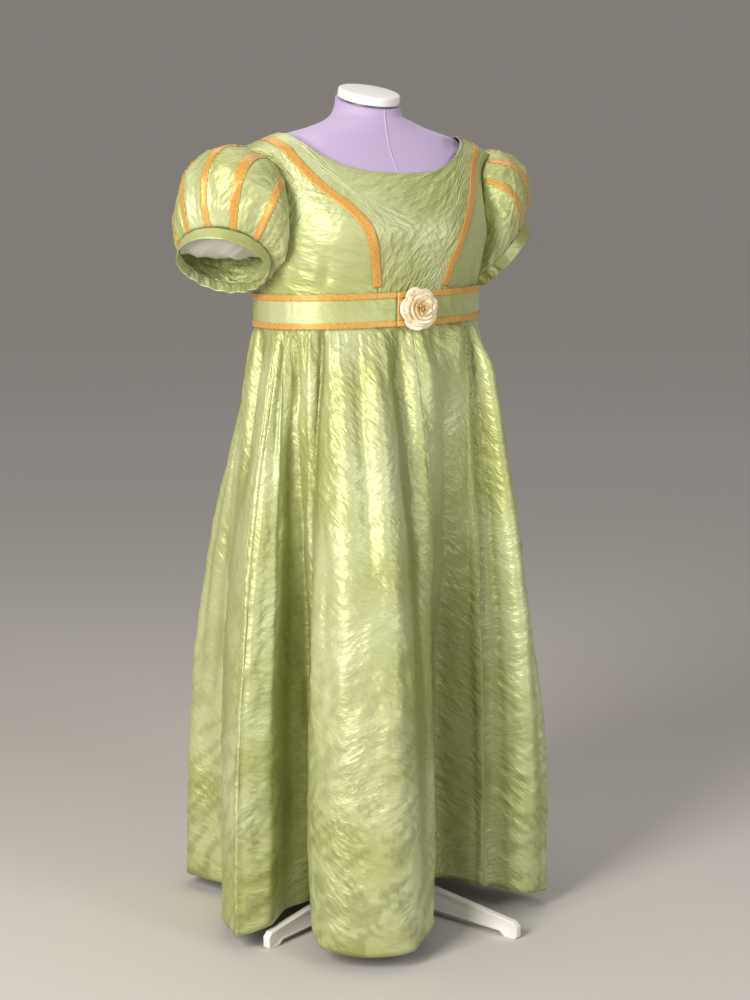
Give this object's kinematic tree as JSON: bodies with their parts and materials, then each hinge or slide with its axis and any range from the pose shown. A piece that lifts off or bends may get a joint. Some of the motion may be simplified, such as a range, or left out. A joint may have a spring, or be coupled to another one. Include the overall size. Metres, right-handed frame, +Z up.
{
  "type": "regency gown on a dress form",
  "caption": "High-waisted regency gown of crinkled green taffeta with puff sleeves, gold ribbons and a rosette belt, on a limbless dress form with a low legged stand.",
  "frame": {"origin": "on the floor, under the middle of the whole piece's footprint", "axes": "+Z up; the wearer faces -Y, and +X is the wearer's left"},
  "size_m": [0.7032, 0.6193, 1.4854],
  "materials": {
    "green_taffeta": "crinkled shot taffeta with a soft satin gloss",
    "gold_ribbon": "satin ribbon",
    "white_lining": "glossy white satin lining",
    "rose_silk": "matt cream silk petals",
    "lilac_jersey": "smooth stretched jersey cover",
    "white_plastic": "moulded, slightly glossy",
    "grey_steel": "satin"
  },
  "bodies": {
    "root": {"belt": "green_taffeta", "belt_ribbon_bottom": "gold_ribbon", "belt_ribbon_end": "gold_ribbon", "belt_ribbon_top": "gold_ribbon", "bodice_back_L": "green_taffeta", "bodice_back_R": "green_taffeta", "bodice_front": "green_taffeta", "bodice_side_front_L": "green_taffeta", "bodice_side_front_R": "green_taffeta", "cuff_L": "green_taffeta", "cuff_R": "green_taffeta", "flower_bud": "rose_silk", "flower_inner": "rose_silk", "flower_middle": "rose_silk", "flower_outer": "rose_silk", "form_torso": "lilac_jersey", "neck_cap": "white_plastic", "neck_facing_back_L": "white_lining", "neck_facing_back_R": "white_lining", "neck_facing_front": "white_lining", "neck_gasket": "grey_steel", "pole": "grey_steel", "princess_ribbon_L": "gold_ribbon", "princess_ribbon_R": "gold_ribbon", "skirt_back_L": "green_taffeta", "skirt_back_R": "green_taffeta", "skirt_front_L": "green_taffeta", "skirt_front_R": "green_taffeta", "sleeve_L": "green_taffeta", "sleeve_R": "green_taffeta", "sleeve_lining_L": "white_lining", "sleeve_lining_R": "white_lining", "sleeve_ribbon_L1": "gold_ribbon", "sleeve_ribbon_L2": "gold_ribbon", "sleeve_ribbon_L3": "gold_ribbon", "sleeve_ribbon_L4": "gold_ribbon", "sleeve_ribbon_L5": "gold_ribbon", "sleeve_ribbon_R1": "gold_ribbon", "sleeve_ribbon_R2": "gold_ribbon", "sleeve_ribbon_R3": "gold_ribbon", "sleeve_ribbon_R4": "gold_ribbon", "sleeve_ribbon_R5": "gold_ribbon", "stand_hub": "white_plastic", "stand_leg_1": "white_plastic", "stand_leg_2": "white_plastic", "stand_leg_3": "white_plastic", "stand_leg_4": "white_plastic"}
  },
  "joints": []
}
